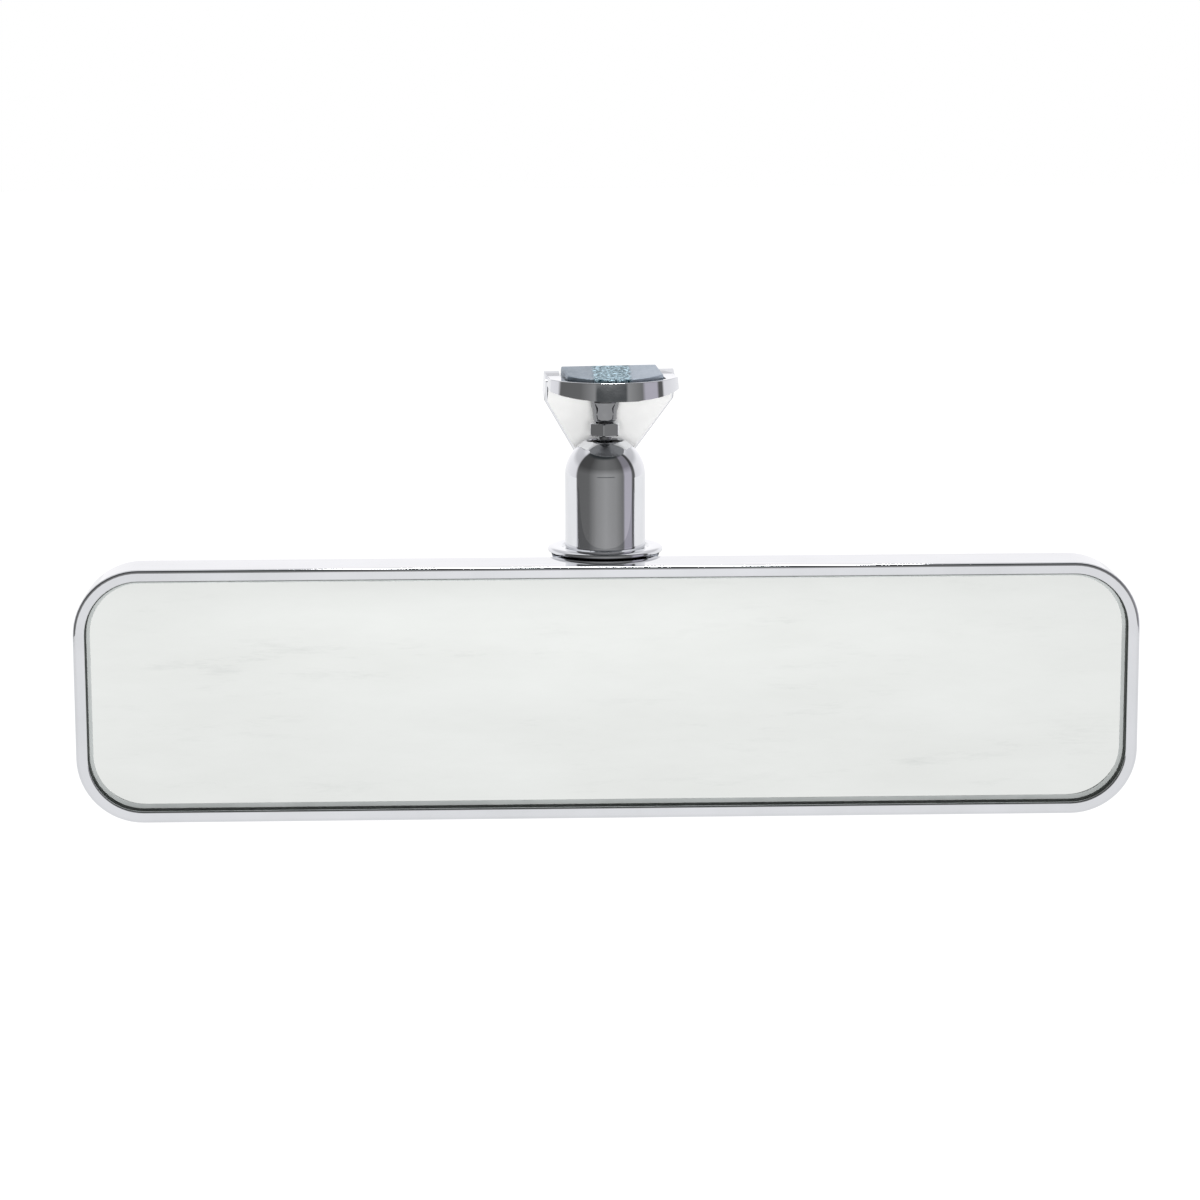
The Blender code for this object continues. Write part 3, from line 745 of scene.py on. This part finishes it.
def lock_nut():
    """Hexagon with turned chamfers, a few degrees off square."""
    low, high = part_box("stud_lock_nut")
    z0 = (low.z - BENCH.z) / MM
    z1 = (high.z - BENCH.z) / MM
    corner = (high.y - low.y) / 2 / MM
    nut_turn = math.radians(-6.0)
    lay_down()
    bpy.ops.mesh.primitive_circle_add(vertices=6, radius=corner * MM, fill_type="NGON",
                                      location=at(AXIS[0], AXIS[1], z0),
                                      rotation=(0.0, 0.0, nut_turn))
    piece = settle("lock_nut")
    work_on(piece)
    bpy.ops.mesh.select_all(action="SELECT")
    push(dz=z1 - z0)
    lay_down()
    soften(piece, 0.16, 3, 30.0)
    beyond, face, widest, chamfer = 0.66, 0.90, 1.02, 0.42
    cone = [(0.0, z0 - 1.0), (corner * beyond, z0 - 1.0), (corner * face, z0)]
    cone += [(corner * widest, z0 + chamfer), (corner * widest, z1 - chamfer)]
    cone += [(corner * face, z1), (corner * beyond, z1 + 1.0), (0.0, z1 + 1.0)]
    join_solid(piece, turned("chamfer_tool", cone, steps=72), "INTERSECT")
    bore_r = 2.2
    bore = [(0.0, z0 - 2.0), (bore_r, z0 - 2.0), (bore_r, z1 + 2.0), (0.0, z1 + 2.0)]
    join_solid(piece, turned("bore_tool", bore, steps=48), "DIFFERENCE")
    tidy_mesh(piece)
    mat = plated_chrome("lock_nut_chrome", ripple=0.006, ripple_size=1.2)
    return fit(piece, mat, "foot", ["stud_lock_nut"], angle=25.0)


# ---- foot -------------------------------------------------------------------------------

def turn_with_foot(piece):
    """The foot's pieces are made square and turned about the stud at the end."""
    hub = Matrix.Translation(at(AXIS[0], AXIS[1], 0.0))
    piece.data.transform(hub @ Matrix.Rotation(FOOT_TURN, 4, "Z") @ hub.inverted())
    return piece


def collar(name, radius, half, front, z0, z1, back, draft=0.0):
    """Bow-fronted block: part of a disc, cut to a half width and drawn back.

    The disc's front stands at a depth; draft leans the bowed front back as it rises.
    """
    centre_y = front + radius
    lay_down()
    bpy.ops.mesh.primitive_circle_add(vertices=192, radius=radius * MM, fill_type="NGON",
                                      location=at(FOOT_X, centre_y, z0))
    piece = settle(name)
    for side in (1.0, -1.0):
        trim(piece, at(FOOT_X + side * half, 0.0, 0.0), (side, 0.0, 0.0), fill=False)
    shoulder = centre_y - math.sqrt(radius ** 2 - half ** 2)
    trim(piece, at(0.0, shoulder, 0.0), (0.0, 1.0, 0.0), fill=False)
    work_on(piece)
    bpy.ops.mesh.select_mode(type="FACE")
    bpy.ops.mesh.select_all(action="SELECT")
    push(dz=z1 - z0)
    pick(piece, "FACE", lambda f: f.normal.y > 0.97)
    push(dy=back - shoulder)
    if draft:
        top = BENCH.z + z1 * MM
        pick(piece, "FACE", lambda f: abs(f.normal.z) > 0.97
             and abs(f.calc_center_median().z - top) < 1e-6)
        share = 1.0 - (z1 - z0) * math.tan(draft) / radius
        hub = at(FOOT_X, centre_y, z1)
        bpy.ops.transform.resize(value=(share, share, 1.0), center_override=hub)
    tidy_mesh(piece)
    return piece


def shield(name, half, taper_s, tip_half, tip_s, top_s, low_h, high_h):
    """Slab along the windscreen plane with its sides drawn in towards the lower end."""
    lay_down()
    middle = on_glass_plane(0.0, (top_s + tip_s) / 2, (low_h + high_h) / 2)
    bpy.ops.mesh.primitive_cube_add(size=1.0, location=middle, rotation=(GLASS_LEAN, 0.0, 0.0))
    bpy.context.active_object.scale = (2 * half * MM, (high_h - low_h) * MM, (tip_s - top_s) * MM)
    piece = settle(name)
    run = tip_s - taper_s
    lean = half - tip_half
    for side in (1.0, -1.0):
        normal = Vector((side, 0.0, 0.0)) * run + SLOPE * lean
        trim(piece, on_glass_plane(side * half, taper_s, 0.0), normal.normalized())
    return piece


def foot():
    """Bow-fronted collar joined to a tapered plate, with a pocket behind for the button."""
    half, front = 15.8, 6.5
    piece = collar("foot", 17.3, half, front, FOOT_FLOOR, FOOT_TOP, 40.0, math.radians(4.5))
    mid_y = at(0.0, AXIS[1] + 12.0, 0.0).y
    work_on(piece)
    top_z = at(0.0, 0.0, FOOT_TOP).z
    pick(piece, "EDGE", lambda e: all(abs(v.co.z - top_z) < 2e-6 for v in e.verts)
         and min(v.co.y for v in e.verts) < mid_y)
    bpy.ops.mesh.bevel(offset=0.22 * MM, segments=3, profile=0.5)
    lay_down()
    trim(piece, at(0.0, front, FOOT_FLOOR), (0.0, math.sin(UNDERCUT), -math.cos(UNDERCUT)))

    taper_s = 6.9
    plate = shield("plate", half, taper_s, 3.7, 30.0, 1.0, -4.5, 3.0)
    work_on(plate)
    lowest = on_glass_plane(0.0, 29.9, 0.0).dot(SLOPE)
    pick(plate, "EDGE", lambda e: all(v.co.dot(SLOPE) > lowest for v in e.verts)
         and abs((e.verts[0].co - e.verts[1].co).normalized().dot(PLANE_NORMAL)) > 0.9)
    bpy.ops.mesh.bevel(offset=3.0 * MM, segments=8, profile=0.5)
    pick(plate, "FACE", lambda f: f.normal.dot(PLANE_NORMAL) < -0.97)
    bpy.ops.mesh.region_to_loop()
    bpy.ops.mesh.bevel(offset=1.0 * MM, segments=5, profile=0.5)
    lay_down()
    join_solid(piece, plate)
    trim(piece, on_glass_plane(0.0, 0.0, 0.0), PLANE_NORMAL)

    join_solid(piece, collar("recess_tool", 15.7, 12.2, 7.9, 72.2, 80.0, 45.0), "DIFFERENCE")
    pocket = shield("pocket_tool", 11.6, taper_s, 4.2, 24.4, -6.0, -2.4, 4.0)
    join_solid(piece, pocket, "DIFFERENCE")
    socket_r, thread_r = 4.05, 2.3
    thread = [(0.0, 60.0), (socket_r, 60.0), (socket_r, 70.4), (thread_r, 70.7)]
    thread += [(thread_r, 71.5), (0.0, 71.5)]
    join_solid(piece, turned("thread_tool", thread, steps=64), "DIFFERENCE")
    tidy_mesh(piece)
    turn_with_foot(piece)
    mat = plated_chrome("foot_chrome", ripple=0.015, ripple_size=4.5)
    fit(piece, mat, "foot", ["foot_casting"], angle=38.0)
    # the downward faces get the dark finish: painted shade under the foot
    refinish(piece, underside_painted_shade(), facing((0.0, 0.0, -1.0), 0.95))
    plate_front = Matrix.Rotation(FOOT_TURN, 3, "Z") @ -PLANE_NORMAL
    return refinish(piece, satin_plating(), facing(plate_front, 0.96))


def zinc_button():
    """Zinc wedge on the windscreen, with a bow-fronted head whose top falls to the front."""
    piece = shield("button", 11.0, 6.9, 3.9, 24.0, 0.6, -2.1, 1.2)
    head = collar("button_head", 14.6, 11.6, 9.1, 72.5, 80.0, 40.0)
    fall, run = 4.2, 50.0
    trim(head, at(0.0, 0.0, 73.2), Vector((0.0, -fall, run)).normalized())
    soften(head, 0.35, 3, 40.0)
    join_solid(piece, head)
    trim(piece, on_glass_plane(0.0, 0.0, 0.4), PLANE_NORMAL)
    tidy_mesh(piece)
    turn_with_foot(piece)
    mat = cast_zinc(at(FOOT_X, 0.0, 0.0).x)
    return fit(piece, mat, "button", ["windshield_button"], angle=30.0)


# ---- hidden pieces keep their CAD shape -------------------------------------------------

def dress_hidden():
    finishes = {
        "windshield_glue_pad": black_sealing_rubber("glue_pad_rubber"),
        "foot_set_screw": machined_steel("set_screw_steel", (0.30, 0.30, 0.32), 0.34),
        "upper_ball_seat": moulded_nylon("upper_seat_nylon"),
        "lower_ball_cup": moulded_nylon("lower_cup_nylon"),
        "spring_seat": machined_steel("spring_seat_steel", (0.56, 0.56, 0.58), 0.32),
        "pivot_spring": machined_steel("spring_steel", (0.42, 0.42, 0.45), 0.28),
        "tube_grub_screw": machined_steel("grub_screw_steel", (0.34, 0.34, 0.36), 0.32),
        "reinforcement_plate": machined_steel("plate_steel", (0.48, 0.48, 0.50), 0.38,
                                              grain=(0.1, 1.0, 1.0)),
        "backing_pad": grey_foam("backing_foam"),
    }
    for number in (1, 2, 3):
        name = "bracket_nut_%d" % number
        finishes[name] = machined_steel(name + "_steel", (0.55, 0.55, 0.57), 0.34)
    for name, finish in finishes.items():
        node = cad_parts[name]
        node.data.materials.clear()
        node.data.materials.append(finish)


# ---- studio -----------------------------------------------------------------------------

def table_top():
    """White table whose front edge ends before the dark room that the tube's front reflects.

    It lies lower than the head reaches in any pose. Towards the corners its edge runs round
    the tube at one radius.
    """
    level, front, back, half = -80.0, -542.0, 2600.0, 1300.0
    flat_half, radius, centre_y = 264.0, 614.0, 12.0
    first_turn, turn_step, turns = 25.0, 5.3, 13
    lay_down()
    bpy.ops.mesh.primitive_plane_add(size=1.0, location=at(0.0, (front + back) / 2, level))
    bpy.context.active_object.scale = (2 * flat_half * MM, (back - front) * MM, 1.0)
    table = settle("table_top")
    work_on(table)

    def widen(side, x, to_x):
        """Extrude the side edge at x out to to_x."""
        edge = at(side * (abs(x) - 1.0), 0.0, 0.0).x
        pick(table, "EDGE", lambda e: all(side * v.co.x > side * edge for v in e.verts))
        push(dx=to_x - x)

    near = at(0.0, back - 1.0, 0.0).y
    for side in (1.0, -1.0):
        x, y = side * flat_half, front
        for step in range(1, turns + 1):
            a = math.radians(first_turn + turn_step * step)
            next_x, next_y = side * radius * math.sin(a), centre_y - radius * math.cos(a)
            widen(side, x, next_x)
            far = at(side * (abs(next_x) - 1.0), 0.0, 0.0).x
            pick(table, "VERT", lambda v: side * v.co.x > side * far and v.co.y < near)
            bpy.ops.transform.translate(value=(0.0, (next_y - y) * MM, 0.0))
            x, y = next_x, next_y
        widen(side, x, side * half)
    lay_down()
    table.data.materials.append(table_white())


def table_white():
    """White that fades behind the head, so that the chrome there has something to show."""
    mat = bpy.data.materials.new("table_white")
    mat.use_nodes = True
    shader = mat.node_tree.nodes["Principled BSDF"]
    shader.inputs["Base Color"].default_value = (0.055, 0.055, 0.055, 1.0)
    shader.inputs["Roughness"].default_value = 0.9
    shader.inputs["Emission Strength"].default_value = 1.0
    bench = NodeBench(mat.node_tree)
    place = bench.split(bench.tree.nodes.new("ShaderNodeTexCoord").outputs["Object"])
    behind = bench.ramp(place["Y"], 0.0, 1.0, at(0.0, 130.0, 0.0).y, at(0.0, 730.0, 0.0).y)
    tones = ((0.0, 0.9), (0.10, 0.80), (0.25, 0.45), (0.45, 0.38), (0.7, 0.72), (1.0, 0.9))
    fade = bench.stepped(behind, [(reach, (tone, tone, tone * 1.01)) for reach, tone in tones])
    beside = bench.ramp(bench.maths("ABSOLUTE", place["X"]), 0.0, 1.0, 0.18, 0.235)
    mirrored = bench.mix(beside, fade, (0.88, 0.88, 0.89))
    final = bench.mix(bench.seen_directly(), mirrored, (0.98, 0.98, 0.98))
    bench.link(final, shader.inputs["Emission Color"])
    return mat


def room():
    """Room around the table: white behind, dark ahead and overhead, a pale strip to the right."""
    world = bpy.data.worlds.new("studio_room")
    bpy.context.scene.world = world
    world.use_nodes = True
    tree = world.node_tree
    tree.nodes.clear()
    bench = NodeBench(tree)
    away = bench.split(tree.nodes.new("ShaderNodeTexCoord").outputs["Generated"])

    turn = bench.maths("ARCTAN2", away["X"], bench.maths("MULTIPLY", away["Y"], -1.0))
    round_turn = bench.maths("ADD", bench.maths("DIVIDE", turn, 2 * math.pi), 0.5)
    lift = bench.maths("ARCSINE", away["Z"])
    rise = bench.maths("ADD", bench.maths("DIVIDE", lift, math.pi), 0.5)

    def by_turn(*stops):
        """Tones by degrees round the room; 0 is straight ahead of the glass."""
        return bench.stepped(round_turn, [((a + 180.0) / 360.0, tone) for a, tone in stops])

    def by_rise(*stops):
        """Tones by degrees above level."""
        return bench.stepped(rise, [((a + 90.0) / 180.0, tone) for a, tone in stops])

    lilac = (0.50, 0.48, 0.54)
    side, far, edge = (0.97, 0.965, 0.985), (1.12, 1.11, 1.13), (0.86, 0.85, 0.875)
    walls = by_turn((-180, far), (-130, side), (-95, edge), (-89, 0.14), (-50, 0.15), (-25, 0.30),
                    (0, 0.37), (30, 0.31), (52, 0.19), (58, lilac), (80, lilac), (84, 0.12),
                    (92, 0.12), (96, edge), (130, side), (180, far))

    # a narrow dark board, level with the foot's collar
    board = bench.mix(1.0, by_turn((-26, 0.0), (-22, 1.0), (24, 1.0), (28, 0.0)),
                      by_rise((0.3, 0.0), (1.0, 1.0), (2.0, 1.0), (2.7, 0.0)), kind="MULTIPLY")
    walls = bench.mix(board, walls, (0.06, 0.065, 0.068))

    # the front wall darkens upwards, and so does a band of the back wall
    half_y = bench.maths("ADD", bench.maths("MULTIPLY", away["Y"], 0.5), 0.5)
    behind = bench.stepped(half_y, ((0.49, 0.0), (0.56, 1.0)))
    ahead = bench.maths("SUBTRACT", 1.0, behind)
    walls = bench.mix(ahead, walls, by_rise((8, 1.0), (24, 0.5)), kind="MULTIPLY")
    band = by_rise((16, 0.0), (26, 0.45), (40, 0.45), (60, 0.0))
    shade = bench.mix(1.0, behind, band, kind="MULTIPLY")
    walls = bench.mix(shade, walls, (0.28, 0.28, 0.30))

    # dark overhead in front, white overhead behind
    walls = bench.mix(by_rise((50, 0.0), (57, 1.0)), walls, (0.035, 0.04, 0.042))
    ceiling = bench.mix(1.0, behind, by_rise((44, 0.0), (56, 1.0)), kind="MULTIPLY")
    mirrored = bench.mix(ceiling, walls, side)
    final = bench.mix(bench.seen_directly(), mirrored, (1.0, 1.0, 1.0))

    ground = tree.nodes.new("ShaderNodeBackground")
    bench.link(final, ground.inputs["Color"])
    out = tree.nodes.new("ShaderNodeOutputWorld")
    bench.link(ground.outputs["Background"], out.inputs["Surface"])


def lamp(name, place, target, size, power, mirrored=True):
    """Lamp panel out of the camera's sight; an unmirrored one doesn't show in the chrome."""
    light = bpy.data.lights.new(name, "AREA")
    light.shape = "RECTANGLE"
    light.size, light.size_y = size
    light.energy = power
    holder = bpy.data.objects.new(name, light)
    bpy.context.scene.collection.objects.link(holder)
    holder.location = at(*place)
    holder.rotation_euler = (at(*target) - holder.location).to_track_quat("-Z", "Y").to_euler()
    holder.visible_camera = False
    holder.visible_glossy = mirrored


def camera():
    data = bpy.data.cameras.new("bench_camera")
    data.sensor_width = 36.0
    data.lens = 113.17
    data.clip_start = 0.05
    data.clip_end = 20.0
    eye = bpy.data.objects.new("bench_camera", data)
    bpy.context.scene.collection.objects.link(eye)
    eye.location = at(-27.96, -879.56, 187.52)
    yaw, pitch, roll = math.radians(1.692), math.radians(10.612), math.radians(-0.196)
    level = Matrix.Rotation(-yaw, 4, "Z") @ Matrix.Rotation(QUARTER - pitch, 4, "X")
    eye.rotation_euler = (level @ Matrix.Rotation(roll, 4, "Z")).to_euler()
    bpy.context.scene.camera = eye


def studio():
    table_top()
    room()
    lamp("overhead_panel", place=(40.0, 160.0, 1100.0), target=(0.0, 20.0, 50.0),
         size=(0.30, 0.16), power=5.0)
    lamp("front_fill", place=(0.0, -520.0, 90.0), target=(0.0, 30.0, 60.0),
         size=(0.25, 0.15), power=1.9, mirrored=False)
    camera()
    bpy.context.scene.view_settings.view_transform = "Standard"
    bpy.context.scene.view_settings.look = "None"


build_head()
tube()
bracket()
for screw_number in (1, 2, 3):
    cross_screw(screw_number)
stud()
lock_nut()
foot()
zinc_button()
dress_hidden()
studio()
lay_down()
